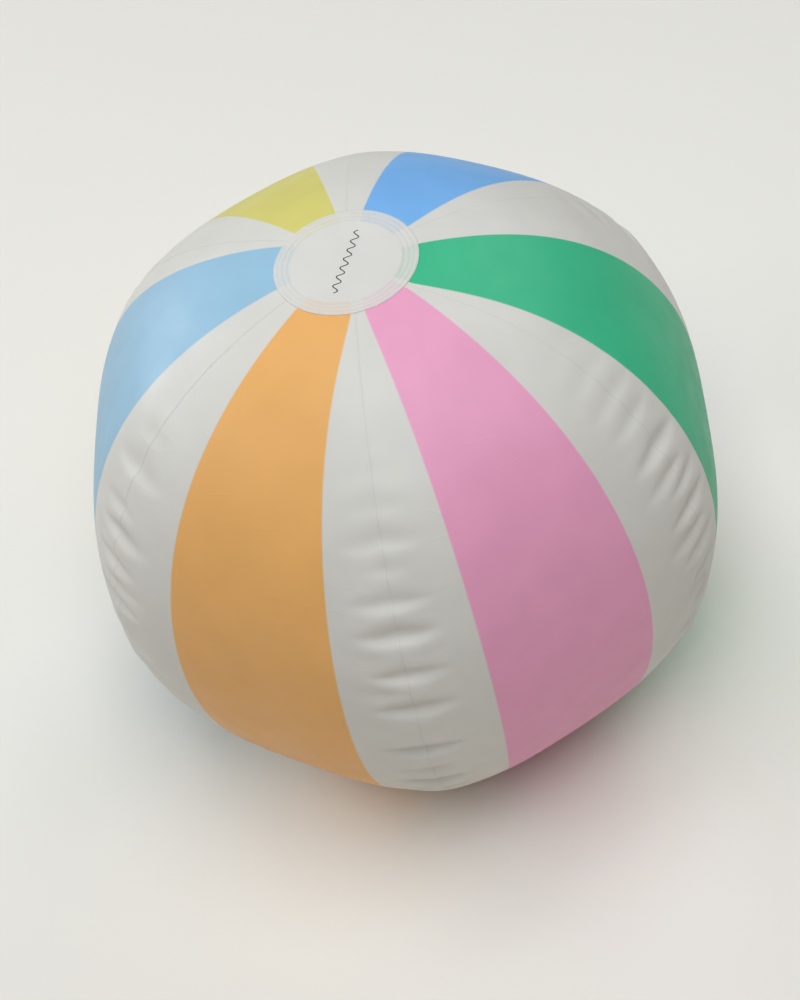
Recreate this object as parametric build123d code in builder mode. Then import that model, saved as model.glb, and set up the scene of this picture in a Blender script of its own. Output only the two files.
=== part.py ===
"""Inflatable beach ball: six film gores, two pole discs and a push-in air valve."""
import os
from math import asin, cos, degrees, radians, sin

from build123d import *

# Lengths are millimetres and angles are degrees. The ball stands on its bottom pole disc:
# the origin is the centre of that disc's face, and +Z runs up the ball's pole axis.

# Ball
BALL_RADIUS = 175.0  # mean radius at the belly
SEAM_RISE = 0.0256  # seams stand out, and gore middles stand in, by this share of the radius
POLE_FLATTENING = 0.058  # the film is this much flatter than a sphere towards the poles
FILM = 0.3  # soft PVC film
GORES = ("gore_pink", "gore_green", "gore_blue", "gore_yellow", "gore_sky", "gore_orange")
GORE_ANGLE = 360 / len(GORES)
FIRST_GORE_AZIMUTH = -90.0  # the pink gore faces -Y, and the yellow one +Y
SECTIONS_PER_GORE = 7
MERIDIAN_STEPS = 14

# Pole discs, welded over the gores' tips
DISC_RADIUS = 37.5
DISC_THICKNESS = 0.4
WELD_BAND = 9.0  # how far the gore tips run in under a disc

# Air valve, on the yellow gore, below the belly
VALVE_POLAR = 120.0  # measured from the top pole
VALVE_TILT = -30.0  # its axis points this far below level
FILM_HOLE_RADIUS = 9.0
FLANGE_RADIUS = 14.0
FLANGE_THICKNESS = 0.6
SKIRT_RADIUS = 8.0  # the soft skirt starts at the flange's inner edge
SKIRT_THICKNESS = 0.4
STEM_RADIUS = 5.0
BORE_RADIUS = 3.6
STEM_MOUTH = 2.2  # height of the mouth over the film, with the stem pushed in
STEM_DEPTH = 13.0  # depth of the stem's inner end under the film
LIP_RADIUS = 6.2
LIP_THICKNESS = 1.2
PLUG_HEAD_RADIUS = 5.6
PLUG_HEAD_THICKNESS = 1.6
PLUG_SHANK_LENGTH = 5.7
SHANK_STRAIGHT = 4.0  # the rest of the shank tapers to its tip
SHANK_TIP_RADIUS = 2.5
FLAP_RADIUS = 4.6
FLAP_THICKNESS = 0.4
TETHER_WIDTH = 3.0
TETHER_THICKNESS = 0.7
TETHER_REACH = 12.0  # the folded strap's outer end, from the valve's axis
TAB_WIDTH = 4.4
TAB_REACH = 8.4
TAB_BULGE = 1.0  # of its rounded end
EDGE_ROUNDING = 0.4  # on the lip and the plug's head
RUNNING_GAP = 0.05  # radial clearance of the plug in the bore
FACE_GAP = 0.05  # between faces that only rest on each other

RIM_POLAR = degrees(asin(DISC_RADIUS / BALL_RADIUS))


def film_height(polar):
    """Height over the ball's centre of the film's outer face."""
    angle = radians(polar)
    return BALL_RADIUS * cos(angle) * (1 - POLE_FLATTENING * cos(2 * angle))


def film_radius(polar, off_middle):
    """Distance from the pole axis of the film's outer face, off a gore's middle line."""
    angle = radians(polar)
    ripple = cos(radians(len(GORES) * off_middle))
    return BALL_RADIUS * sin(angle) * (1 - SEAM_RISE * sin(angle) * ripple)


def film_curve(polar_from, polar_to, off_middle=0.0, depth=0.0):
    """Points along a meridian, at a depth under the film's outer face."""
    scale = 1 - depth / BALL_RADIUS
    step = (polar_to - polar_from) / MERIDIAN_STEPS
    polars = [polar_from + step * i for i in range(MERIDIAN_STEPS + 1)]
    return [(film_radius(p, off_middle) * scale, film_height(p) * scale) for p in polars]


RIM_HEIGHT = film_height(RIM_POLAR)
HALF_HEIGHT = RIM_HEIGHT + DISC_THICKNESS


def meridian_plane(azimuth):
    """Plane through the pole axis: its x runs outwards and its y runs up, from the centre."""
    angle = radians(azimuth)
    outwards = (cos(angle), sin(angle), 0)
    return Plane(origin=(0, 0, HALF_HEIGHT), x_dir=outwards, z_dir=(sin(angle), -cos(angle), 0))


def film_section(azimuth, off_middle):
    """Thin closed outline of the film on one meridian, from weld band to weld band."""
    with BuildSketch(meridian_plane(azimuth + off_middle)) as section:
        with BuildLine():
            tips = []
            for depth in (0.0, FILM):
                belly = Spline(*film_curve(RIM_POLAR, 180 - RIM_POLAR, off_middle, depth))
                top = Line(belly @ 0 - Vector(WELD_BAND, 0), belly @ 0)
                bottom = Line(belly @ 1, belly @ 1 - Vector(WELD_BAND, 0))
                tips.append((top @ 0, bottom @ 1))
            Line(tips[0][0], tips[1][0])
            Line(tips[0][1], tips[1][1])
        make_face()
    return section.sketch


def finish(built, label):
    """Name a finished piece and write its STEP file."""
    built.part.label = label
    export_step(built.part, f"parts/{label}.step")


os.makedirs("parts", exist_ok=True)

# The valve's own frame: origin on the film, z along the valve's axis, y down the film.
tilt = radians(VALVE_TILT)
outward = Vector(0, cos(tilt), sin(tilt))
valve_point = Vector(0, film_radius(VALVE_POLAR, 0), HALF_HEIGHT + film_height(VALVE_POLAR))
valve_face = Plane(origin=valve_point, x_dir=(1, 0, 0), z_dir=outward)
valve_axis = Axis(valve_point, outward)
# Two planes hold the axis, with sketch y outwards: x runs along X, or x runs down the film.
across = Plane(origin=valve_point, x_dir=(1, 0, 0), z_dir=valve_face.y_dir * -1)
along = Plane(origin=valve_point, x_dir=valve_face.y_dir, z_dir=(1, 0, 0))

# Gores: each is a sixth of the inflated skin, a little flatter across than a sphere.
for number, label in enumerate(GORES):
    middle = FIRST_GORE_AZIMUTH + GORE_ANGLE * number
    offsets = [GORE_ANGLE * (i / (SECTIONS_PER_GORE - 1) - 0.5) for i in range(SECTIONS_PER_GORE)]
    with BuildPart() as gore:
        loft([film_section(middle, offset) for offset in offsets])
        if label == "gore_yellow":
            with BuildSketch(valve_face):
                Circle(FILM_HOLE_RADIUS)
            extrude(amount=FILM_HOLE_RADIUS, both=True, mode=Mode.SUBTRACT)
    finish(gore, label)

# Pole discs, one over each end's gore tips.
for label, height in (("bottom_disc", 0.0), ("top_disc", 2 * HALF_HEIGHT - DISC_THICKNESS)):
    with BuildPart() as disc:
        with BuildSketch(Plane.XY.offset(height)):
            Circle(DISC_RADIUS)
        extrude(amount=DISC_THICKNESS)
    finish(disc, label)

# Flange: a ring that follows the film's curve round the hole.
slab_reach = 1.2 * FLANGE_RADIUS  # the curved slab runs out past the ring on every side
ring_depth = FLANGE_RADIUS / 4  # more than the film falls away under the ring
with BuildPart() as valve_flange:
    with BuildSketch(valve_face):
        Circle(FLANGE_RADIUS)
        Circle(SKIRT_RADIUS, mode=Mode.SUBTRACT)
    extrude(amount=ring_depth, both=True)
    with BuildSketch(meridian_plane(90)):
        with BuildLine():
            flange_span = degrees(slab_reach / BALL_RADIUS)
            faces = []
            for depth in (-FACE_GAP, -FACE_GAP - FLANGE_THICKNESS):
                points = film_curve(VALVE_POLAR - flange_span, VALVE_POLAR + flange_span, 0, depth)
                faces.append(Spline(*points))
            Line(faces[0] @ 0, faces[1] @ 0)
            Line(faces[0] @ 1, faces[1] @ 1)
        make_face()
    extrude(amount=slab_reach, both=True, mode=Mode.INTERSECT)
finish(valve_flange, "valve_flange")

# Skirt: the soft cone that lets the stem be pushed in, from the flange to the stem's foot.
skirt_foot = STEM_RADIUS + FACE_GAP
with BuildPart() as valve_skirt:
    with BuildSketch(across):
        with BuildLine():
            Polyline(
                (SKIRT_RADIUS - FACE_GAP, FLANGE_THICKNESS),
                (SKIRT_RADIUS - FACE_GAP, 0),
                (skirt_foot + SKIRT_THICKNESS, -STEM_DEPTH),
                (skirt_foot, -STEM_DEPTH),
                (skirt_foot, -STEM_DEPTH + SKIRT_THICKNESS),
                (SKIRT_RADIUS - FACE_GAP - SKIRT_THICKNESS, 0),
                (SKIRT_RADIUS - FACE_GAP - SKIRT_THICKNESS, FLANGE_THICKNESS),
                close=True,
            )
        make_face()
    revolve(axis=valve_axis)
finish(valve_skirt, "valve_skirt")

# Stem: the mouthpiece tube, with a lip round its mouth.
with BuildPart() as valve_stem:
    with BuildSketch(across):
        with BuildLine():
            Polyline(
                (BORE_RADIUS, -STEM_DEPTH),
                (STEM_RADIUS, -STEM_DEPTH),
                (STEM_RADIUS, STEM_MOUTH - LIP_THICKNESS),
                (LIP_RADIUS, STEM_MOUTH - LIP_THICKNESS),
                (LIP_RADIUS, STEM_MOUTH),
                (BORE_RADIUS, STEM_MOUTH),
                close=True,
            )
        make_face()
    revolve(axis=valve_axis)
    lip_edges = valve_stem.edges().filter_by(GeomType.CIRCLE).sort_by(SortBy.RADIUS)[-2:]
    fillet(lip_edges, radius=EDGE_ROUNDING)
finish(valve_stem, "valve_stem")

# Plug: a stopper with a flat head, a tapered shank and a finger tab on the upper side.
head_base = STEM_MOUTH + FACE_GAP
head_top = head_base + PLUG_HEAD_THICKNESS
shank_radius = BORE_RADIUS - RUNNING_GAP
with BuildPart() as valve_plug:
    with BuildSketch(valve_face.offset(head_base)):
        Circle(PLUG_HEAD_RADIUS)
        with BuildLine():
            half = TAB_WIDTH / 2
            Polyline((-half, -TAB_REACH), (-half, 0), (half, 0), (half, -TAB_REACH))
            ThreePointArc((-half, -TAB_REACH), (0, -TAB_REACH - TAB_BULGE), (half, -TAB_REACH))
        make_face()
    extrude(amount=PLUG_HEAD_THICKNESS)
    fillet(valve_plug.faces().sort_by(valve_axis)[-1].edges(), radius=EDGE_ROUNDING)
    with BuildSketch(across):
        with BuildLine():
            Polyline(
                (0, head_base),
                (shank_radius, head_base),
                (shank_radius, head_base - SHANK_STRAIGHT),
                (SHANK_TIP_RADIUS, head_base - PLUG_SHANK_LENGTH),
                (0, head_base - PLUG_SHANK_LENGTH),
                close=True,
            )
        make_face()
    revolve(axis=valve_axis)
finish(valve_plug, "valve_plug")

# Tether: a strap that leaves the lip, folds back on itself and ends on the plug's head.
lip_level = STEM_MOUTH - LIP_THICKNESS / 2
head_level = head_base + PLUG_HEAD_THICKNESS / 2
fold_radius = (head_level - lip_level) / 2
with BuildPart() as plug_tether:
    with BuildSketch(along):
        with BuildLine():
            lower = Line((LIP_RADIUS + FACE_GAP, lip_level), (TETHER_REACH - fold_radius, lip_level))
            fold = TangentArc(lower @ 1, (TETHER_REACH - fold_radius, head_level), tangent=lower % 1)
            Line(fold @ 1, (PLUG_HEAD_RADIUS + FACE_GAP, head_level))
            offset(amount=TETHER_THICKNESS, side=Side.RIGHT)
        make_face()
    extrude(amount=TETHER_WIDTH / 2, both=True)
finish(plug_tether, "plug_tether")

# Check flap: a soft tongue that the air pressure holds against the stem's inner end.
with BuildPart() as check_flap:
    with BuildSketch(valve_face.offset(-STEM_DEPTH - FACE_GAP - FLAP_THICKNESS)):
        Circle(FLAP_RADIUS)
    extrude(amount=FLAP_THICKNESS)
finish(check_flap, "check_flap")

print(f"ball {2 * BALL_RADIUS:.0f} across, {2 * HALF_HEIGHT:.2f} high")
print(f"valve on the film at {valve_point}, axis {outward}")
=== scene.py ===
"""The looks of an inflatable beach ball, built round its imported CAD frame.

Everything is in metres in the CAD's frame: the ball stands on its bottom disc, the origin is the
centre of that disc's face, and +Z runs up the pole axis. A place on the film is given by its
polar angle from the top pole and its azimuth, anticlockwise from +X as seen from above.
"""
from math import asin, atan2, cos, pi, radians, sin, sqrt

import bpy
import numpy as np
from mathutils import Matrix, Vector


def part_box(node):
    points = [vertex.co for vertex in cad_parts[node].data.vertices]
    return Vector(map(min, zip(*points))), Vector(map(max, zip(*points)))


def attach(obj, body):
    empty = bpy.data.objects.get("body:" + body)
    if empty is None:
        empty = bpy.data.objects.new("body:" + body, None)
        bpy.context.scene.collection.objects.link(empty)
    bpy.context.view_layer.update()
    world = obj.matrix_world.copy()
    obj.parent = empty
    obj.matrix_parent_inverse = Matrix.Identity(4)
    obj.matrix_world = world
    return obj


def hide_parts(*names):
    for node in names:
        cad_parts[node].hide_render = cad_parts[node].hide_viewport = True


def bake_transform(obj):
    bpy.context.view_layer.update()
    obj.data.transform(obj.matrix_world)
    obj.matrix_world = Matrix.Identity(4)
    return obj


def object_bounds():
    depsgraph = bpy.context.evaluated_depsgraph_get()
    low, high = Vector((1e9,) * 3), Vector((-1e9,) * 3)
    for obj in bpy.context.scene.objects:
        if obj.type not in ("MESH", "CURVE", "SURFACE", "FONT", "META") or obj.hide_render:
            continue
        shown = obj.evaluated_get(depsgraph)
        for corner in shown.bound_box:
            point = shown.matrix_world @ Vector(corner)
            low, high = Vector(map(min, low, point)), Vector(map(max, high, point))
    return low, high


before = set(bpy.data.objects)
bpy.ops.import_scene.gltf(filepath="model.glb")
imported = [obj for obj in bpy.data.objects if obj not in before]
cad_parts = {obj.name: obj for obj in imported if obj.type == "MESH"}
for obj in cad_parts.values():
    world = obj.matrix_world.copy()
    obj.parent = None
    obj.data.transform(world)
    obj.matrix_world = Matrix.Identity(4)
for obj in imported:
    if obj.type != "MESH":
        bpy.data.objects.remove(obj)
CAD_LOW, CAD_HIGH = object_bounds()

MM = 0.001

# Ball: the film's shape is the CAD gores' own
GORES = ("pink", "green", "blue", "yellow", "sky", "orange")  # the first faces -Y
FIRST_GORE_AZIMUTH = radians(-90)
GORE_ANGLE = 2 * pi / len(GORES)
SEAM_RISE = 0.0256  # seams stand out, and gore middles stand in, by this share of the radius
POLE_FLATTENING = 0.058
FILM = 0.3 * MM
BALL_RADIUS = CAD_HIGH.x / (1 + SEAM_RISE)
CENTRE_HEIGHT = CAD_HIGH.z / 2
DISC_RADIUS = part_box("top_disc")[1].x
DISC_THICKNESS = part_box("bottom_disc")[1].z
WELD_BAND = 9 * MM  # how far the gore tips run in under a disc
RIM_POLAR = asin(DISC_RADIUS / BALL_RADIUS)
SLOPE_STEP = 0.001  # radians each way, for the film's slope at a place
FINE_ROWS = 4000  # for measuring the way down the film

# Print: one stripe down each gore, never quite centred on it; degrees from the gore's middle
STRIPE_EDGES = {
    "pink": (-16.5, 15.3),
    "green": (-21.5, 11.5),
    "blue": (-18.9, 16.7),
    "yellow": (-18.1, 13.3),
    "sky": (-20.3, 17.3),
    "orange": (-14.7, 18.2),
}
PRINT_EDGE = 0.5 * MM  # a paler line where the ink thins out

# Degrees that the stripe's edges, and the seam after it, turn aside on their way to a disc
STRIPE_TURNS = {
    "pink": (-4.1, 3.1),
    "green": (-14.2, -2.3),
    "blue": (-8.2, 1.8),
    "yellow": (-1.8, 2.7),
    "sky": (-9.8, -1.0),
    "orange": (-1.7, 10.3),
}
SEAM_TURNS = {"pink": -9.2, "green": -3, "blue": 0, "yellow": -6.5, "sky": 0, "orange": 1}
TURN_REACH = radians(10)

# Valve, in its own frame: origin on the film, z along its axis, y down the film
VALVE_POLAR = radians(120)
VALVE_TILT = radians(-30)
FILM_HOLE_RADIUS = 9 * MM
FLANGE_RADIUS = 14 * MM
FLANGE_THICKNESS = 0.6 * MM
SKIRT_RADIUS = 8 * MM
SKIRT_THICKNESS = 0.4 * MM
STEM_RADIUS = 5 * MM
STEM_DEPTH = 13 * MM
FACE_GAP = 0.05 * MM


# --- Shapes of the film ---------------------------------------------------------------------


def film_points(polar, azimuth):
    """Places on the outer face of the smooth film, for angles given as arrays of one shape."""
    ripple = np.cos(len(GORES) * azimuth)
    radius = BALL_RADIUS * np.sin(polar) * (1 + SEAM_RISE * np.sin(polar) * ripple)
    height = BALL_RADIUS * np.cos(polar) * (1 - POLE_FLATTENING * np.cos(2 * polar))
    return np.stack(
        [radius * np.cos(azimuth), radius * np.sin(azimuth), CENTRE_HEIGHT + height], axis=-1
    )


def film_normals(polar, azimuth):
    """Unit outward directions of the smooth film at those places."""
    step = SLOPE_STEP
    down = film_points(polar + step, azimuth) - film_points(polar - step, azimuth)
    across = film_points(polar, azimuth + step) - film_points(polar, azimuth - step)
    normal = np.cross(down, across)
    return normal / np.linalg.norm(normal, axis=-1, keepdims=True)


def even_rows(count):
    """Polar angles of evenly spaced rows from rim to rim, and their distance down the film."""
    polar = np.linspace(RIM_POLAR, pi - RIM_POLAR, FINE_ROWS)
    middle = film_points(polar, np.full_like(polar, FIRST_GORE_AZIMUTH))
    steps = np.linalg.norm(np.diff(middle, axis=0), axis=1)
    down = np.concatenate([[0], np.cumsum(steps)])
    wanted = np.linspace(0, down[-1], count + 1)
    return np.interp(wanted, down, polar), wanted


def smooth_step(value, start, end):
    """0 before start, 1 after end, and a smooth curve between them."""
    part = np.clip((value - start) / (end - start), 0, 1)
    return part * part * (3 - 2 * part)


# --- The film blown up: a net of flat-cut gores under air pressure -----------------------------

NET_ROWS = 200
NET_COLUMNS = 30  # in each gore
NET_WIDTH = NET_COLUMNS * len(GORES)
NET_STEPS = 600
NET_PASSES = 2  # over all links in each step
AIR_PUSH = 4e-8  # metres each step for each unit of cell area
MOTION_KEPT = 0.9
TAUT, SLACK, SHEAR = 1.0, 0.5, 0.3  # share of a link's error that one pass takes away
BENDING = 0.002
UNEVENNESS = 0.4 * MM  # of the film before it is blown up
UNEVENNESS_SPREAD = 2
SEED = 7
WRINKLE_REACH = 12 * MM  # wrinkles much longer than this are taken for the ball's own shape
BELL_END = 4  # a bell-shaped weight is cut off this many reaches out
WRINKLES_START = radians(30)  # polar angle where the film is still smooth
WRINKLES_FULL = radians(75)
PUCKER_CORE = 9 * MM  # the film is puckered this near to a seam
PUCKER_END = 30 * MM  # and pulled smooth this far from it
VALVE_CLEAR = 20 * MM  # the film is smooth this near to the valve


def net_links(row_step, column_step, down, half_width):
    """Links of one direction in two sets that share no point: first ends, second ends, lengths."""
    row, column = np.mgrid[0 : NET_ROWS + 1 - row_step, 0:NET_WIDTH]
    back = min(column_step, 0)
    local = (column + back) % NET_COLUMNS - back
    first_across = half_width[row] * (2 * local / NET_COLUMNS - 1)
    second_across = half_width[row + row_step] * (2 * (local + column_step) / NET_COLUMNS - 1)
    length = np.hypot(second_across - first_across, down[row + row_step] - down[row])
    first = row * NET_WIDTH + column
    second = (row + row_step) * NET_WIDTH + (column + column_step) % NET_WIDTH
    turn = (row if row_step else column) % 2
    return [(first[turn == odd], second[turn == odd], length[turn == odd]) for odd in (0, 1)]


def tighten(points, free, links, taut, slack):
    """Bring each link nearer to its flat-cut length."""
    for first, second, length in links:
        span = points[second] - points[first]
        now = np.sqrt(np.einsum("ij,ij->i", span, span))
        excess = now - length
        weight = np.maximum(free[first] + free[second], 1)
        share = np.where(excess > 0, taut, slack) * excess / (now * weight)
        move = span * share[:, None]
        points[first] += move * free[first, None]
        points[second] -= move * free[second, None]


def net_push(net):
    """Outward vectors as long as each point's share of the film's area."""
    across = np.roll(net, -1, axis=1) - np.roll(net, 1, axis=1)
    padded = np.pad(net, ((1, 1), (0, 0), (0, 0)), mode="edge")
    return np.cross(padded[2:] - padded[:-2], across) / 4


def net_bending(net, axis):
    """How far stiffness pulls each point back, along one direction of the net."""
    bend = np.roll(net, 1, axis) + np.roll(net, -1, axis) - 2 * net
    pull = np.roll(bend, 1, axis) + np.roll(bend, -1, axis) - 2 * bend
    pull[:2] = 0
    pull[-2:] = 0
    return pull


def cloudy(shape, spread):
    """Seeded random numbers, smoothed over a few places of the net."""
    noise = np.random.default_rng(SEED).normal(size=shape)
    for _ in range(spread):
        noise = (np.roll(noise, 1, axis=1) + 2 * noise + np.roll(noise, -1, axis=1)) / 4
        padded = np.pad(noise, ((1, 1), (0, 0)), mode="edge")
        noise = (padded[:-2] + 2 * noise + padded[2:]) / 4
    return noise / noise.std()


def blown_up(polar, down, smooth, normals):
    """The net's points after the flat-cut gores are filled with air: their seams pucker."""
    steps = np.linalg.norm(np.roll(smooth, -1, axis=1) - smooth, axis=-1)
    half_width = steps.sum(axis=1) / (2 * len(GORES))
    across = net_links(0, 1, down, half_width)
    along = net_links(1, 0, down, half_width)
    slanted = net_links(1, 1, down, half_width) + net_links(1, -1, down, half_width)
    area = np.linalg.norm(net_push(smooth), axis=-1, keepdims=True)
    net = smooth + normals * (cloudy(polar.shape, UNEVENNESS_SPREAD) * UNEVENNESS)[..., None]
    net[[0, -1]] = smooth[[0, -1]]
    free = np.ones(polar.shape)
    free[[0, -1]] = 0
    speed = np.zeros_like(net)
    for _ in range(NET_STEPS):
        before = net.copy()
        net += (speed * MOTION_KEPT + net_push(net) / area * AIR_PUSH) * free[..., None]
        points = net.reshape(-1, 3)
        for _ in range(NET_PASSES):
            tighten(points, free.ravel(), across + along, TAUT, SLACK)
            tighten(points, free.ravel(), slanted, SHEAR, SHEAR)
        for axis in (0, 1):
            net -= net_bending(net, axis) * BENDING * free[..., None]
        speed = net - before
    return net


def smoothed_down(field, reach):
    """A net field averaged along its rows' direction with a bell-shaped weight."""
    wide = int(BELL_END * reach)
    offsets = np.arange(-wide, wide + 1)
    weights = np.exp(-0.5 * (offsets / reach) ** 2)
    weights /= weights.sum()
    padded = np.pad(field, ((wide, wide), (0, 0), (0, 0)), mode="edge")
    rows = len(field)
    return sum(w * padded[i : i + rows] for i, w in enumerate(weights))


def film_wrinkles():
    """Vectors on the net from the smooth film to the puckered one."""
    rows, down = even_rows(NET_ROWS)
    columns = np.arange(NET_WIDTH) * 2 * pi / NET_WIDTH
    polar, azimuth = np.meshgrid(rows, columns, indexing="ij")
    smooth = film_points(polar, azimuth)
    moved = blown_up(polar, down, smooth, film_normals(polar, azimuth)) - smooth
    wrinkles = moved - smoothed_down(moved, WRINKLE_REACH / down[1])
    from_pole = np.minimum(polar, pi - polar)
    column = np.arange(NET_WIDTH) % NET_COLUMNS
    off_seam = np.minimum(column, NET_COLUMNS - column) * 2 * pi / NET_WIDTH
    from_seam = BALL_RADIUS * np.sin(polar) * off_seam
    from_valve = np.linalg.norm(smooth - np.array(VALVE_POINT), axis=-1)
    kept = smooth_step(from_pole, WRINKLES_START, WRINKLES_FULL)
    kept *= 1 - smooth_step(from_seam, PUCKER_CORE, PUCKER_END)
    kept *= smooth_step(from_valve, VALVE_CLEAR, 2 * VALVE_CLEAR)
    return wrinkles * kept[..., None]


def spline_weights(part):
    """Catmull-Rom weights of the four nearest net lines, for a place between the middle two."""
    return (
        (-part + 2 * part**2 - part**3) / 2,
        (2 - 5 * part**2 + 3 * part**3) / 2,
        (part + 4 * part**2 - 3 * part**3) / 2,
        (part**3 - part**2) / 2,
    )


def sampled(field, row, column):
    """Smooth values of a net field at fractional rows and columns."""
    row_floor = np.clip(np.floor(row), 0, NET_ROWS - 1).astype(int)
    column_floor = np.floor(column).astype(int)
    row_weights = spline_weights(row - row_floor)
    column_weights = spline_weights(column - column_floor)
    total = 0
    for i in range(4):
        at_row = np.clip(row_floor + i - 1, 0, NET_ROWS)
        for j in range(4):
            at_column = (column_floor + j - 1) % NET_WIDTH
            weight = row_weights[i] * column_weights[j]
            total = total + field[at_row, at_column] * weight[..., None]
    return total


# --- Mesh helpers -----------------------------------------------------------------------------


def valve_frame():
    """The matrix from the valve's own frame to the ball's, and its origin on the film."""
    azimuth = np.array(FIRST_GORE_AZIMUTH + GORE_ANGLE * GORES.index("yellow"))
    origin = Vector(film_points(np.array(VALVE_POLAR), azimuth))
    out = Vector((0, cos(VALVE_TILT), sin(VALVE_TILT)))
    x = Vector((1, 0, 0))
    y = out.cross(x)
    turn = Matrix((x, y, out)).transposed().to_4x4()
    return Matrix.Translation(origin) @ turn, origin


VALVE, VALVE_POINT = valve_frame()


def grid_faces(rows, columns, wrap=False):
    """Quads of a grid of points; wrap joins the last column to the first."""
    index = np.arange(rows * columns).reshape(rows, columns)
    after = np.roll(index, -1, axis=1)
    faces = np.stack([index[:-1], index[1:], after[1:], after[:-1]], axis=-1)
    if not wrap:
        faces = faces[:, :-1]
    return faces


SHARP_ANGLE = radians(40)  # edges sharper than this aren't shaded smooth


def make_piece(name, points, faces, materials, slots=None, sharp=SHARP_ANGLE):
    """A smooth-shaded mesh object, with a material for each face."""
    mesh = bpy.data.meshes.new(name)
    corners = [[int(corner) for corner in face] for face in faces]
    mesh.from_pydata(np.asarray(points).reshape(-1, 3).tolist(), [], corners)
    for material in materials:
        mesh.materials.append(material)
    if slots is not None:
        mesh.polygons.foreach_set("material_index", np.asarray(slots, dtype=np.int32))
    mesh.polygons.foreach_set("use_smooth", [True] * len(mesh.polygons))
    piece = bpy.data.objects.new(name, mesh)
    bpy.context.scene.collection.objects.link(piece)
    mesh.set_sharp_from_angle(angle=sharp)
    return piece


def grid_normals(points):
    """Unit directions square to a grid of points."""
    normal = np.cross(np.gradient(points, axis=0), np.gradient(points, axis=1))
    return normal / np.linalg.norm(normal, axis=-1, keepdims=True)


def closed_shell(outer, inner, faces):
    """Points and faces of a solid sheet: outer face, inner face and a strip round each open edge."""
    count = len(outer)
    start, end = faces.ravel(), np.roll(faces, -1, axis=1).ravel()
    is_open = ~np.isin(start * count + end, end * count + start)
    start, end = start[is_open], end[is_open]
    strips = np.stack([end, start, start + count, end + count], axis=1)
    points = np.concatenate([outer, inner])
    return points, np.concatenate([faces, faces[:, ::-1] + count, strips])


# --- Materials --------------------------------------------------------------------------------


WHITE_FILM = (0.688, 0.652, 0.592)
WELD_DARKNESS = 0.06  # where two films lie together
PRINT_EDGE_FADE = 0.6  # how far a stripe's colour has faded to white along its edges
STRIPE_COLOURS = {
    "pink": (0.838, 0.358, 0.522),
    "green": (0.052, 0.478, 0.240),
    "blue": (0.194, 0.437, 0.78),
    "yellow": (0.67, 0.60, 0.172),
    "sky": (0.31, 0.51, 0.65),
    "orange": (0.835, 0.43, 0.138),
}
VALVE_COLOUR = (0.74, 0.74, 0.72)
FLAP_COLOUR = (0.70, 0.70, 0.69)

# Soft film: satin shine, faint clouding, slack waves, packing creases and grain
GLOSS = 0.2
FILM_ROUGHNESS = (0.36, 0.48)  # the shine drifts between these
VALVE_ROUGHNESS = (0.25, 0.35)
FLAP_ROUGHNESS = (0.3, 0.4)
FILM_WAVINESS = 0.05 * MM
MOULDED_WAVINESS = 0.02 * MM  # of the valve's thicker parts
CREASE_DEPTH = 0.05 * MM
COLOUR_DRIFT = 0.025
GRAIN_DEPTH = 0.01 * MM
CREASE_WIDTH = 0.012
CREASE_PATCHES = (0.45, 0.55)  # the creases come in patches, between these values of a cloud
CREASE_STRETCH = (1, 1, 3.5)  # packing creases run across the gores rather than down them

# How close together the markings are, in clouds to the metre
CREASING = 15
CLOUDING = 35
SHINE_DRIFT = 60
SLACK_WAVES = 90
GRAIN = 1500


def mixed(first, second, share):
    """A colour between two, share of the way to the second."""
    return tuple(a + (b - a) * share for a, b in zip(first, second))


def noise(tree, scale, detail=2.0, stretch=(1, 1, 1)):
    """A cloudy value of the piece's own coordinates; scale is clouds to the metre."""
    place = tree.nodes.new("ShaderNodeTexCoord")
    mapping = tree.nodes.new("ShaderNodeMapping")
    mapping.inputs["Scale"].default_value = stretch
    cloud = tree.nodes.new("ShaderNodeTexNoise")
    cloud.inputs["Scale"].default_value = scale
    cloud.inputs["Detail"].default_value = detail
    tree.links.new(place.outputs["Object"], mapping.inputs["Vector"])
    tree.links.new(mapping.outputs["Vector"], cloud.inputs["Vector"])
    return cloud.outputs["Fac"]


def spread(tree, value, low, high, start=0.3, end=0.7):
    """A value's middle range, spread from low to high."""
    node = tree.nodes.new("ShaderNodeMapRange")
    node.inputs["From Min"].default_value = start
    node.inputs["From Max"].default_value = end
    node.inputs["To Min"].default_value = low
    node.inputs["To Max"].default_value = high
    tree.links.new(value, node.inputs["Value"])
    return node.outputs["Result"]


def varied_colour(tree, value, colour, amount):
    """A colour that drifts lighter and darker with a value from 0 to 1."""
    mix = tree.nodes.new("ShaderNodeMix")
    mix.data_type = "RGBA"
    mix.inputs["A"].default_value = (*(c * (1 - amount) for c in colour), 1)
    mix.inputs["B"].default_value = (*(min(c * (1 + amount), 1) for c in colour), 1)
    tree.links.new(value, mix.inputs["Factor"])
    return mix.outputs["Result"]


def relief(tree, height, depth, below=None):
    """A bump of one height value, on top of another bump."""
    bump = tree.nodes.new("ShaderNodeBump")
    bump.inputs["Strength"].default_value = 1
    bump.inputs["Distance"].default_value = depth
    tree.links.new(height, bump.inputs["Height"])
    if below is not None:
        tree.links.new(below, bump.inputs["Normal"])
    return bump.outputs["Normal"]


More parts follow.
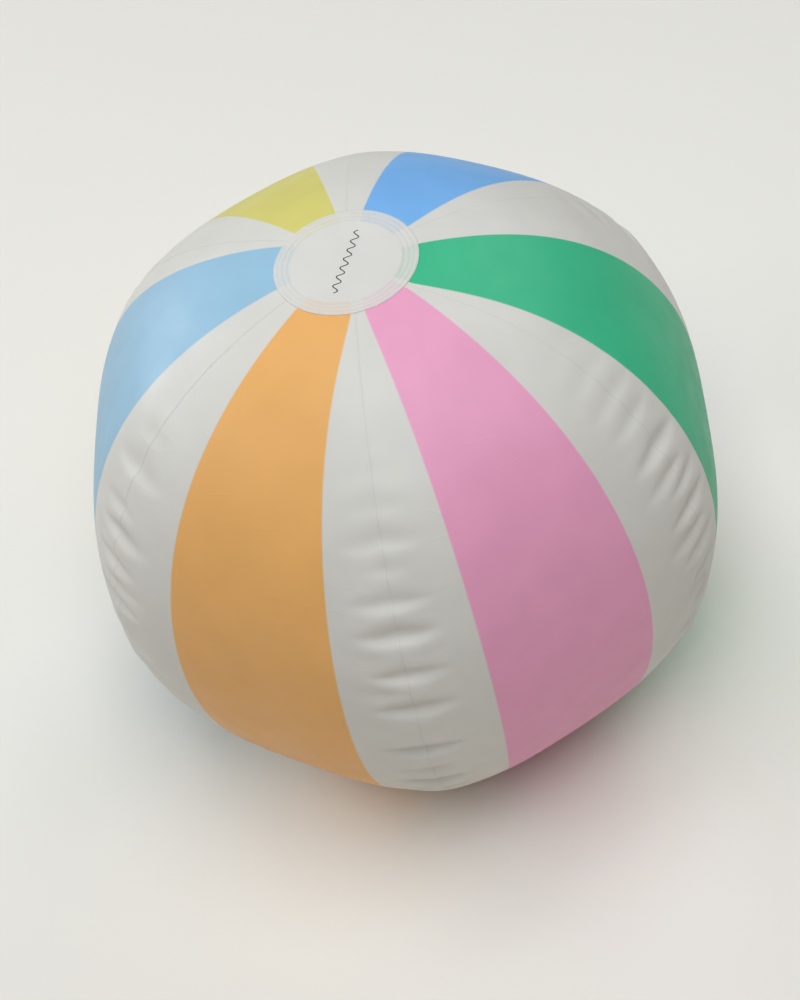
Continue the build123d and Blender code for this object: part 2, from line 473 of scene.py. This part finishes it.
def crease_lines(tree):
    """Short wandering lines, 1 on the line, where a cloud passes through its middle value."""
    away = tree.nodes.new("ShaderNodeMath")
    away.operation = "SUBTRACT"
    away.inputs[1].default_value = 0.5
    tree.links.new(noise(tree, CREASING, 1.0, CREASE_STRETCH), away.inputs[0])
    size = tree.nodes.new("ShaderNodeMath")
    size.operation = "ABSOLUTE"
    tree.links.new(away.outputs["Value"], size.inputs[0])
    line = spread(tree, size.outputs["Value"], 1, 0, 0, CREASE_WIDTH)
    patches = tree.nodes.new("ShaderNodeMath")
    patches.operation = "MULTIPLY"
    tree.links.new(line, patches.inputs[0])
    tree.links.new(spread(tree, noise(tree, CREASING), 0, 1, *CREASE_PATCHES), patches.inputs[1])
    return patches.outputs["Value"]


def pvc(name, colour, roughness=FILM_ROUGHNESS, waviness=FILM_WAVINESS, creases=CREASE_DEPTH):
    """Soft PVC film: a satin shine that drifts, faint clouding, slack waviness and packing creases."""
    material = bpy.data.materials.new(name)
    material.use_nodes = True
    tree = material.node_tree
    shader = tree.nodes["Principled BSDF"]
    clouding = spread(tree, noise(tree, CLOUDING), 0, 1)
    base_colour = varied_colour(tree, clouding, colour, COLOUR_DRIFT)
    tree.links.new(base_colour, shader.inputs["Base Color"])
    tree.links.new(spread(tree, noise(tree, SHINE_DRIFT), *roughness), shader.inputs["Roughness"])
    normal = relief(tree, noise(tree, SLACK_WAVES), waviness)
    normal = relief(tree, crease_lines(tree), creases, normal)
    normal = relief(tree, noise(tree, GRAIN, 1.0), GRAIN_DEPTH, normal)
    tree.links.new(normal, shader.inputs["Normal"])
    shader.inputs["Specular IOR Level"].default_value = GLOSS
    return material


WHITE_PVC = pvc("white_film", WHITE_FILM)
WELDED_PVC = pvc("seam_weld", mixed(WHITE_FILM, (0, 0, 0), WELD_DARKNESS))
VALVE_PVC = pvc("valve_pvc", VALVE_COLOUR, VALVE_ROUGHNESS, MOULDED_WAVINESS, creases=0)
FLAP_PVC = pvc("flap_film", FLAP_COLOUR, FLAP_ROUGHNESS, MOULDED_WAVINESS, creases=0)


# --- Pieces -----------------------------------------------------------------------------------

MESH_ROWS = 2 * NET_ROWS
TIP_ROWS = 4
LAP = 1.0 * MM  # each gore's film is welded over the next one's edge, this far
LAP_RISE = 0.06 * MM  # the upper film stands out this far over the seam
LAP_RAMP = 0.6 * MM  # the lower film thins down to the weld over this width
UPPER_RAMP = 0.9 * MM  # and the upper one over this
MELTED = 0.12 * MM  # the weld presses both films this thin
LAP_EDGE = 0.04 * MM  # and the upper one's edge still thinner
LAP_GAP = 0.02 * MM
WELD_LINE = 0.6 * MM  # of the lap's edge, where two films lie together and look darker
LAP_FADE = 4 * MM  # the lap sinks to the film's level over this length, next to a disc
WHITE, STRIPE, PRINT_LINE, WELD = 0, 1, 2, 3  # material slots
WHITE_COLUMNS = 10
STRIPE_COLUMNS = 28


def turned_aside(polar):
    """Share of its turn beside a disc that a line down the film has made at these places."""
    from_pole = np.minimum(polar, pi - polar)
    return np.exp(-(from_pole - RIM_POLAR) / TURN_REACH)


def stripe_edges(gore, polar):
    """Azimuths of the stripe's two edges, from the gore's middle."""
    share = turned_aside(polar)
    pairs = zip(STRIPE_EDGES[gore], STRIPE_TURNS[gore])
    return [radians(edge) + radians(turn) * share for edge, turn in pairs]


def gore_seams(gore, polar):
    """Azimuths of the seams before and after a gore, from its middle."""
    share = turned_aside(polar)
    gore_before = GORES[GORES.index(gore) - 1]
    before = -GORE_ANGLE / 2 + radians(SEAM_TURNS[gore_before]) * share
    after = GORE_ANGLE / 2 + radians(SEAM_TURNS[gore]) * share
    return before, after


def gore_lines(gore, polar, rise):
    """Lines down a gore: azimuth from its middle, lift, thickness, slot and columns to the next."""
    radius = BALL_RADIUS * np.sin(polar)
    before, after = gore_seams(gore, polar)
    left, right = stripe_edges(gore, polar)
    ink = PRINT_EDGE / 2 / radius
    level = np.zeros_like(polar)
    edge = rise - MELTED + LAP_EDGE
    under = rise - MELTED - LAP_GAP
    return [
        (before, under, MELTED, WHITE, 2),
        (before + LAP / radius, under, MELTED, WHITE, 2),
        (before + (LAP + LAP_RAMP) / radius, level, FILM, WHITE, WHITE_COLUMNS),
        (left - ink, level, FILM, PRINT_LINE, 1),
        (left + ink, level, FILM, STRIPE, STRIPE_COLUMNS),
        (right - ink, level, FILM, PRINT_LINE, 1),
        (right + ink, level, FILM, WHITE, WHITE_COLUMNS),
        (after - UPPER_RAMP / radius, level, FILM, WHITE, 2),
        (after, rise, MELTED, WHITE, 2),
        (after + (LAP - WELD_LINE) / radius, edge, LAP_EDGE, WELD, 1),
        (after + LAP / radius, edge, LAP_EDGE, WELD, 0),
    ]


def gore_columns(gore, polar, down):
    """The gore's grid columns: azimuths from its middle, lifts, film thicknesses and slots."""
    lapped = smooth_step(np.minimum(down, down[-1] - down), 0, LAP_FADE)
    lines = gore_lines(gore, polar, LAP_RISE * lapped)
    azimuths, lifts, thicknesses, slots = [], [], [], []
    for line, following in zip(lines, lines[1:]):
        azimuth, lift, thickness, slot, count = line
        for i in range(count):
            share = i / count
            azimuths.append(azimuth + (following[0] - azimuth) * share)
            lifts.append(lift + (following[1] - lift) * share)
            thicknesses.append(thickness + (following[2] - thickness) * share)
        slots += [slot] * count
    azimuths.append(lines[-1][0])
    lifts.append(lines[-1][1])
    thicknesses.append(lines[-1][2])
    return np.stack(azimuths, axis=1), np.stack(lifts, axis=1), np.array(thicknesses), np.array(slots)


def with_tips(grid):
    """Continue a gore's grid of points under both discs, level with its rims."""
    shares = [1 - WELD_BAND / DISC_RADIUS * (i + 1) / TIP_ROWS for i in range(TIP_ROWS)]
    top = [grid[0] * (share, share, 1) for share in reversed(shares)]
    bottom = [grid[-1] * (share, share, 1) for share in shares]
    return np.concatenate([top, grid, bottom])


def cut_valve_hole(layers, faces, slots):
    """Cut the film's round hole: drop the faces in it and pull its edge onto the circle."""
    to_valve, from_valve = np.array(VALVE.inverted()), np.array(VALVE)
    local = [layer @ to_valve[:3, :3].T + to_valve[:3, 3] for layer in layers]
    off_axis = np.hypot(local[0][:, 0], local[0][:, 1])
    inside = (off_axis < FILM_HOLE_RADIUS) & (local[0][:, 2] > -BALL_RADIUS / 2)
    dropped = inside[faces].any(axis=1)
    edge = np.intersect1d(faces[dropped], faces[~dropped])
    share = FILM_HOLE_RADIUS / off_axis[edge]
    for layer in local:
        layer[edge, :2] *= share[:, None]
    used, kept = np.unique(faces[~dropped], return_inverse=True)
    layers = [(layer @ from_valve[:3, :3].T + from_valve[:3, 3])[used] for layer in local]
    return layers, kept.reshape(-1, 4), slots[~dropped]


def make_gore(gore, wrinkles):
    """One gore: white film with its printed stripe, welded over the next gore at one seam."""
    middle = FIRST_GORE_AZIMUTH + GORE_ANGLE * GORES.index(gore)
    polar, down = even_rows(MESH_ROWS)
    off_middle, lift, thickness, column_slots = gore_columns(gore, polar, down)
    azimuth = middle + off_middle
    polar = np.broadcast_to(polar[:, None], azimuth.shape)
    row = np.broadcast_to(np.linspace(0, NET_ROWS, MESH_ROWS + 1)[:, None], azimuth.shape)
    outer = film_points(polar, azimuth)
    outer += sampled(wrinkles, row, azimuth / (2 * pi) * NET_WIDTH)
    outer += film_normals(polar, azimuth) * lift[..., None]
    outer = with_tips(outer)
    inner = outer - grid_normals(outer) * thickness[:, None]
    rows, columns = outer.shape[:2]
    faces = grid_faces(rows, columns).reshape(-1, 4)
    slots = np.tile(column_slots, rows - 1)
    layers = [outer.reshape(-1, 3), inner.reshape(-1, 3)]
    if gore == "yellow":
        layers, faces, slots = cut_valve_hole(layers, faces, slots)
    points, all_faces = closed_shell(*layers, faces)
    all_slots = np.full(len(all_faces), WHITE)
    all_slots[: len(slots)] = slots
    colour = STRIPE_COLOURS[gore]
    materials = [
        WHITE_PVC,
        pvc(f"{gore}_stripe", colour),
        pvc(f"{gore}_print_edge", mixed(colour, WHITE_FILM, PRINT_EDGE_FADE)),
        WELDED_PVC,
    ]
    piece = make_piece(f"{gore}_gore_film", points, all_faces, materials, all_slots)
    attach(piece, "ball")
    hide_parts(f"gore_{gore}")


# The discs: their rings are shares of a disc's radius
DISC_MIDDLE = (0.1, 0.5)  # plain rings
TIPS_END = 1 - WELD_BAND / DISC_RADIUS  # the gore tips underneath end here
GROOVES = (0.80, 0.87, 0.94)  # of the weld
DISC_UNDERSIDE = (1, 0.97, 0.93, 0.1)
GROOVE_HALF_WIDTH = 0.35 * MM
GROOVE_DEPTH = 0.15 * MM
STRIPE_STEPS = 12  # round the disc, over a stripe
WHITE_STEPS = 6  # and between two stripes
DISC_SHARP_ANGLE = radians(60)
GHOST = 0.13  # how much of a stripe shows through the disc
GHOST_IN_GROOVE = 0.17
TOP_DISC_CENTRE = Vector((-1.7, 1.8)) * MM  # it is welded on a little off the pole
DISC_FILM = (0.69, 0.657, 0.60)
# painted shade: the grooves' film is painted darker than the rest of the disc, for the shade in the
# recesses
DISC_GROOVE_SHADE = (0.66, 0.63, 0.575)


def disc_profile():
    """Rings of a disc from its centre out and back: radius, depth under the outer face, kind."""
    rings = [(share * DISC_RADIUS, 0.0, "plain") for share in DISC_MIDDLE]
    rings += [(TIPS_END * DISC_RADIUS, 0.0, "tinted")]
    for share in GROOVES:
        groove = share * DISC_RADIUS
        rings += [
            (groove - GROOVE_HALF_WIDTH, 0.0, "groove"),
            (groove - GROOVE_HALF_WIDTH / 3, GROOVE_DEPTH, "groove"),
            (groove + GROOVE_HALF_WIDTH / 3, GROOVE_DEPTH, "groove"),
            (groove + GROOVE_HALF_WIDTH, 0.0, "tinted"),
        ]
    bevel = DISC_THICKNESS / 3
    rings += [
        (DISC_RADIUS - bevel, 0.0, "plain"),
        (DISC_RADIUS, bevel, "plain"),
    ]
    rings += [(share * DISC_RADIUS, DISC_THICKNESS, "plain") for share in DISC_UNDERSIDE]
    return rings


def disc_azimuths():
    """Azimuths round a disc, with the gore that each gap's stripe shows through from, or None."""
    azimuths = []
    under = []
    for number, gore in enumerate(GORES):
        middle = FIRST_GORE_AZIMUTH + GORE_ANGLE * number
        left, right = stripe_edges(gore, np.array(RIM_POLAR))
        following = GORES[(number + 1) % len(GORES)]
        next_left = GORE_ANGLE + stripe_edges(following, np.array(RIM_POLAR))[0]
        parts = ((left, right, STRIPE_STEPS, gore), (right, next_left, WHITE_STEPS, None))
        for start, end, count, name in parts:
            azimuths += [middle + start + (end - start) * i / count for i in range(count)]
            under += [name] * count
    return np.array(azimuths), under


def disc_place(radius, azimuth, centre):
    """Where a line out from the pole meets a ring round the disc's centre, which lies off the pole."""
    way = Vector((cos(azimuth), sin(azimuth)))
    along = way.dot(centre)
    return way * (along + sqrt(along**2 - centre.length_squared + radius**2))


def film_fall(place):
    """How far the film has fallen from a disc's level, beyond the ring where it starts to."""
    azimuth = np.array(atan2(place.y, place.x))
    level = film_points(np.array(RIM_POLAR), azimuth)
    beyond = max(place.length / np.hypot(level[0], level[1]), 1)
    return level[2] - film_points(np.array(RIM_POLAR * beyond), azimuth)[2]


def make_disc(name, face_height, upward, centre):
    """A milky film disc with pressed weld grooves, which are painted darker as painted shade; the
    stripes under its rim show through faintly.
    """
    materials = [pvc("disc_film", DISC_FILM), pvc("disc_groove_shade", DISC_GROOVE_SHADE)]
    slot_of = {("plain", None): 0, ("tinted", None): 0, ("groove", None): 1}
    for gore in GORES:
        # the grooves get the painted shade colour, tinted by the stripe under them
        kinds = (("tinted", DISC_FILM, GHOST), ("groove", DISC_GROOVE_SHADE, GHOST_IN_GROOVE))
        for kind, film, share in kinds:
            slot_of[kind, gore] = len(materials)
            tint = mixed(film, STRIPE_COLOURS[gore], share)
            materials.append(pvc(f"disc_{kind}_{gore}", tint))
        slot_of["plain", gore] = 0
    azimuths, under = disc_azimuths()
    rings = disc_profile()
    points = []
    for radius, depth, kind in rings:
        for azimuth in azimuths:
            place = disc_place(radius, azimuth, centre)
            points.append((*place, face_height - upward * (depth + film_fall(place))))
    faces = grid_faces(len(rings), len(azimuths), wrap=True).reshape(-1, 4)
    slots = [slot_of[kind, gore] for radius, depth, kind in rings[:-1] for gore in under]
    count = len(azimuths)
    caps = [np.arange(count), np.arange(len(points) - count, len(points))[::-1]]
    faces = [list(f) for f in faces] + [list(c) for c in caps]
    if upward < 0:
        faces = [f[::-1] for f in faces]
    piece = make_piece(f"{name}_film", points, faces, materials, slots + [0, 0], DISC_SHARP_ANGLE)
    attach(piece, "ball")
    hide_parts(name)
    return piece


# Print on the top disc: a plain wavy line
WAVE_LENGTH = 45 * MM
WAVE_COUNT = 7
WAVE_STEPS = 40  # in each wave
WAVE_HEIGHT = 1.7 * MM  # each way from its middle line
WAVE_STROKE = 0.6 * MM
WAVE_RISE = 0.04 * MM
WAVE_TURN = radians(42)
INK = (0.05, 0.05, 0.055)


def make_wave():
    """A thin dark wavy line printed across the top disc."""
    along = np.linspace(-0.5, 0.5, WAVE_STEPS * WAVE_COUNT + 1)
    x = along * WAVE_LENGTH
    y = WAVE_HEIGHT * np.sin(2 * pi * WAVE_COUNT * along)
    slope = np.gradient(y, x)
    side = np.stack([-slope, np.ones_like(slope)], axis=1) / np.hypot(slope, 1)[:, None]
    line = np.stack([x, y], axis=1)
    turn = np.array([[cos(WAVE_TURN), sin(WAVE_TURN)], [-sin(WAVE_TURN), cos(WAVE_TURN)]])
    centre = np.array(TOP_DISC_CENTRE)
    edges = [(line + side * WAVE_STROKE * share) @ turn + centre for share in (-0.5, 0, 0.5)]
    outer = np.stack([np.insert(edge, 2, CAD_HIGH.z + WAVE_RISE, axis=1) for edge in edges])
    inner = outer - (0, 0, WAVE_RISE)
    faces = grid_faces(*outer.shape[:2]).reshape(-1, 4)[:, ::-1]
    points, faces = closed_shell(outer.reshape(-1, 3), inner.reshape(-1, 3), faces)
    piece = make_piece("wave_print", points, faces, [pvc("ink", INK, waviness=0, creases=0)])
    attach(piece, "ball")


TURN_STEPS = 72
DROP_REACH = 0.05  # radians off the valve, where the film's curve is measured


def film_drop(x, y):
    """How far the film lies over the valve's plane; it curves away from the valve both ways."""
    azimuth = pi / 2 + np.array([0.0, DROP_REACH])
    polar = VALVE_POLAR + np.array([DROP_REACH, 0.0])
    places = [VALVE.inverted() @ Vector(p) for p in film_points(polar, azimuth)]
    down, aside = places
    return y**2 * down.z / down.y**2 + x**2 * aside.z / aside.x**2


def turned(profile, on_film=False):
    """A closed outline of radius and height turned about the valve's axis, in the ball's frame."""
    angle = np.arange(TURN_STEPS) * 2 * pi / TURN_STEPS
    radius, height = np.array(profile).T
    x = radius[:, None] * np.cos(angle)
    y = radius[:, None] * np.sin(angle)
    z = np.broadcast_to(height[:, None], x.shape)
    if on_film:
        z = z + film_drop(x, y)
    local = np.stack([x, y, z], axis=-1).reshape(-1, 3)
    matrix = np.array(VALVE)
    points = local @ matrix[:3, :3].T + matrix[:3, 3]
    closed = np.concatenate([np.arange(len(profile)), [0]])
    index = np.arange(len(points)).reshape(len(profile), TURN_STEPS)[closed]
    after = np.roll(index, -1, axis=1)
    faces = np.stack([index[:-1], index[1:], after[1:], after[:-1]], axis=-1).reshape(-1, 4)
    return points, faces


FLANGE_BEVEL = 0.15 * MM  # round its hole
FLANGE_GROOVE = 0.2 * MM  # depth of its weld groove
GROOVE_TOP = 0.9 * MM  # half width of the groove at its top, and at its floor
GROOVE_FLOOR = 0.6 * MM
FLANGE_EDGE = 0.5 * MM  # its outer edge slopes down over this width
FLANGE_LIP = 0.1 * MM  # and ends this far in


def make_flange():
    """The valve's flat ring, welded to the film along a pressed groove."""
    top = FACE_GAP + FLANGE_THICKNESS
    weld = (FLANGE_RADIUS + FILM_HOLE_RADIUS) / 2
    profile = [
        (FLANGE_RADIUS, FACE_GAP),
        (SKIRT_RADIUS, FACE_GAP),
        (SKIRT_RADIUS, top - FLANGE_BEVEL),
        (SKIRT_RADIUS + FLANGE_BEVEL, top),
        (weld - GROOVE_TOP, top),
        (weld - GROOVE_FLOOR, top - FLANGE_GROOVE),
        (weld + GROOVE_FLOOR, top - FLANGE_GROOVE),
        (weld + GROOVE_TOP, top),
        (FLANGE_RADIUS - FLANGE_EDGE, top),
        (FLANGE_RADIUS - FLANGE_LIP, top - FLANGE_GROOVE),
    ]
    piece = make_piece("valve_flange_ring", *turned(profile, on_film=True), [VALVE_PVC])
    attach(piece, "ball")
    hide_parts("valve_flange")


SKIRT_ROWS = 32
SKIRT_FOLD = 0.2 * MM  # soft rings in the skirt's wall
SKIRT_FOLDS = 3


def make_skirt():
    """The soft cone round the stem, from its rim on the flange down to its foot at the stem."""
    share = np.linspace(0, 1, SKIRT_ROWS)
    height = FLANGE_THICKNESS - share * (FLANGE_THICKNESS + STEM_DEPTH)
    outside = SKIRT_RADIUS - FACE_GAP
    foot = STEM_RADIUS + FACE_GAP + SKIRT_THICKNESS
    wall = outside + (foot - outside) * smooth_step(share, 0, 1)
    wall = wall - SKIRT_FOLD * np.sin(share * pi) ** 2 * np.sin(2 * pi * SKIRT_FOLDS * share)
    outer = list(zip(wall, height))
    inner = list(zip(wall - SKIRT_THICKNESS, height))
    piece = make_piece("valve_skirt_film", *turned(outer + inner[::-1]), [VALVE_PVC])
    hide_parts("valve_skirt")
    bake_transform(piece)


STEM_MOUTH = 2.2 * MM
LIP_RADIUS = 6.2 * MM
LIP_THICKNESS = 1.2 * MM
PLUG_HEAD_RADIUS = 5.6 * MM
PLUG_HEAD_THICKNESS = 1.6 * MM
TETHER_WIDTH = 3.0 * MM
TETHER_THICKNESS = 0.7 * MM
TETHER_REACH = 12 * MM
TETHER_BULGE = 0.7  # below 1, the strap's loop is fuller than a half circle
TETHER_STEPS = 36
TETHER_CORNER = 0.2 * MM


def tether_line():
    """The strap's middle line in the valve's plane of symmetry: y down the film, z outwards."""
    low = STEM_MOUTH - LIP_THICKNESS / 2 - TETHER_THICKNESS / 2
    high = STEM_MOUTH + FACE_GAP + PLUG_HEAD_THICKNESS / 2 + TETHER_THICKNESS / 2
    turn = np.linspace(0, pi, TETHER_STEPS)
    root = LIP_RADIUS + (PLUG_HEAD_RADIUS - LIP_RADIUS) * turn / pi + FACE_GAP
    y = root + (TETHER_REACH - root) * np.sin(turn) ** TETHER_BULGE
    z = (low + high) / 2 - (high - low) / 2 * np.cos(turn)
    return y, z, low, high


def make_tether():
    """The flat strap between lip and plug, looped from one to the other."""
    y, z, low, high = tether_line()
    slope_y, slope_z = np.gradient(y), np.gradient(z)
    length = np.hypot(slope_y, slope_z)
    side_y, side_z = -slope_z / length, slope_y / length
    half_width, half_thickness = TETHER_WIDTH / 2, TETHER_THICKNESS / 2
    corner = TETHER_CORNER
    outline = [
        (half_width, half_thickness - corner),
        (half_width - corner, half_thickness),
        (corner - half_width, half_thickness),
        (-half_width, half_thickness - corner),
        (-half_width, corner - half_thickness),
        (corner - half_width, -half_thickness),
        (half_width - corner, -half_thickness),
        (half_width, corner - half_thickness),
    ]
    rings = [
        [(x, y[i] + side_y[i] * up, z[i] + side_z[i] * up) for x, up in outline]
        for i in range(TETHER_STEPS)
    ]
    matrix = np.array(VALVE)
    points = np.array(rings).reshape(-1, 3) @ matrix[:3, :3].T + matrix[:3, 3]
    faces = grid_faces(TETHER_STEPS, len(outline), wrap=True).reshape(-1, 4).tolist()
    first, last = list(range(len(outline))), list(range(len(points) - len(outline), len(points)))
    piece = make_piece("plug_tether_strap", points, faces + [first, last[::-1]], [VALVE_PVC])
    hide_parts("plug_tether")
    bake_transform(piece)


def finish_cad_nodes():
    """The stem, plug and flap keep their CAD shape and get their finish."""
    for name, finish in (("valve_stem", VALVE_PVC), ("valve_plug", VALVE_PVC), ("check_flap", FLAP_PVC)):
        for material_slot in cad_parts[name].material_slots:
            material_slot.material = finish


wrinkles = film_wrinkles()
for gore in GORES:
    make_gore(gore, wrinkles)
make_disc("top_disc", CAD_HIGH.z, 1, TOP_DISC_CENTRE)
make_disc("bottom_disc", 0.0, -1, Vector((0, 0)))
make_wave()
make_flange()
make_skirt()
make_tether()
finish_cad_nodes()


# --- Stage ------------------------------------------------------------------------------------

CAMERA_AZIMUTH = radians(-21.1)
CAMERA_ELEVATION = radians(49.14)
CAMERA_ROLL = radians(-14.95)
CAMERA_DISTANCE = 7.075 * BALL_RADIUS
LENS = 79.6
AIM_RIGHT = 2.4 * MM  # the ball's centre stands this far right of the picture's middle
AIM_UP = 17.7 * MM


def outward(azimuth, elevation):
    """The direction from the ball towards a camera or a light; azimuth 0 is the -Y side."""
    level = cos(elevation)
    return Vector((sin(azimuth) * level, -cos(azimuth) * level, sin(elevation)))


def make_camera():
    """The camera looks down on the ball's front, tilted a little to one side."""
    back = outward(CAMERA_AZIMUTH, CAMERA_ELEVATION)
    level = Vector((cos(CAMERA_AZIMUTH), sin(CAMERA_AZIMUTH), 0))
    upright = back.cross(level)
    right = cos(CAMERA_ROLL) * level + sin(CAMERA_ROLL) * upright
    up = back.cross(right)
    camera = bpy.data.objects.new("camera", bpy.data.cameras.new("camera"))
    bpy.context.scene.collection.objects.link(camera)
    camera.data.lens = LENS
    place = Vector((0, 0, CENTRE_HEIGHT)) + back * CAMERA_DISTANCE - right * AIM_RIGHT - up * AIM_UP
    camera.matrix_world = Matrix.Translation(place) @ Matrix((right, up, back)).transposed().to_4x4()
    bpy.context.scene.camera = camera


SOFTBOX_SIZE = 1.1
SOFTBOX_DISTANCE = 2.4  # from the ball's centre
SOFTBOX_COLOUR = (0.95, 1.0, 1.05)
SOFTBOXES = {  # azimuth from the camera's side, elevation, watts
    "top": (0, 88, 16),
    "front_top": (0, 62, 22),
    "right_top": (60, 62, 7.6),
    "back_right": (135, 40, 10.7),
    "back_left": (225, 18, 19.5),
    "left": (270, 40, 8.9),
}


def make_softbox(name, azimuth, elevation, power):
    """A square soft light that faces the ball."""
    light = bpy.data.lights.new(name, "AREA")
    light.size = SOFTBOX_SIZE
    light.energy = power
    light.color = SOFTBOX_COLOUR
    holder = bpy.data.objects.new(name, light)
    bpy.context.scene.collection.objects.link(holder)
    back = outward(CAMERA_AZIMUTH + radians(azimuth), radians(elevation))
    holder.location = Vector((0, 0, CENTRE_HEIGHT)) + back * SOFTBOX_DISTANCE
    holder.rotation_euler = back.to_track_quat("Z", "Y").to_euler()


PAPER = (0.885, 0.835, 0.755)
PAPER_DRIFT = 0.004
PAPER_TOOTH = 0.01 * MM
PAPER_CLOUDING = 3  # clouds to the metre, as is the grain
PAPER_GRAIN = 900
PAPER_ROUGHNESS = 0.9
PAPER_GLOSS = 0.1
FLOOR_HALF = 4.0
FLOOR_GAP = 0.2 * MM  # under the ball


def paper(name, colour):
    """Matt studio paper: hardly visible clouding and a fine tooth."""
    material = bpy.data.materials.new(name)
    material.use_nodes = True
    tree = material.node_tree
    shader = tree.nodes["Principled BSDF"]
    clouding = spread(tree, noise(tree, PAPER_CLOUDING), 0, 1)
    base_colour = varied_colour(tree, clouding, colour, PAPER_DRIFT)
    tree.links.new(base_colour, shader.inputs["Base Color"])
    tree.links.new(relief(tree, noise(tree, PAPER_GRAIN), PAPER_TOOTH), shader.inputs["Normal"])
    shader.inputs["Roughness"].default_value = PAPER_ROUGHNESS
    shader.inputs["Specular IOR Level"].default_value = PAPER_GLOSS
    return material


def make_floor():
    """A wide pale sheet of paper, just under the ball."""
    corners = ((-1, -1), (1, -1), (1, 1), (-1, 1))
    points = [(x * FLOOR_HALF, y * FLOOR_HALF, -FLOOR_GAP) for x, y in corners]
    floor = make_piece("floor", points, [(0, 1, 2, 3)], [paper("floor_paper", PAPER)])


FILL = (1, 0.99, 0.97, 1)
FILL_STRENGTH = 0.02
BACKDROP = (0.76, 0.75, 0.72, 1)


def make_world():
    """A pale background that the camera sees, which hardly lights the ball."""
    world = bpy.data.worlds.new("studio")
    world.use_nodes = True
    tree = world.node_tree
    dim = tree.nodes["Background"]
    dim.inputs["Color"].default_value = FILL
    dim.inputs["Strength"].default_value = FILL_STRENGTH
    pale = tree.nodes.new("ShaderNodeBackground")
    pale.inputs["Color"].default_value = BACKDROP
    path = tree.nodes.new("ShaderNodeLightPath")
    mix = tree.nodes.new("ShaderNodeMixShader")
    tree.links.new(path.outputs["Is Camera Ray"], mix.inputs["Fac"])
    tree.links.new(dim.outputs["Background"], mix.inputs[1])
    tree.links.new(pale.outputs["Background"], mix.inputs[2])
    tree.links.new(mix.outputs["Shader"], tree.nodes["World Output"].inputs["Surface"])
    bpy.context.scene.world = world


make_camera()
make_floor()
make_world()
for name, (azimuth, elevation, power) in SOFTBOXES.items():
    make_softbox(name, azimuth, elevation, power)
bpy.context.scene.view_settings.view_transform = "Standard"
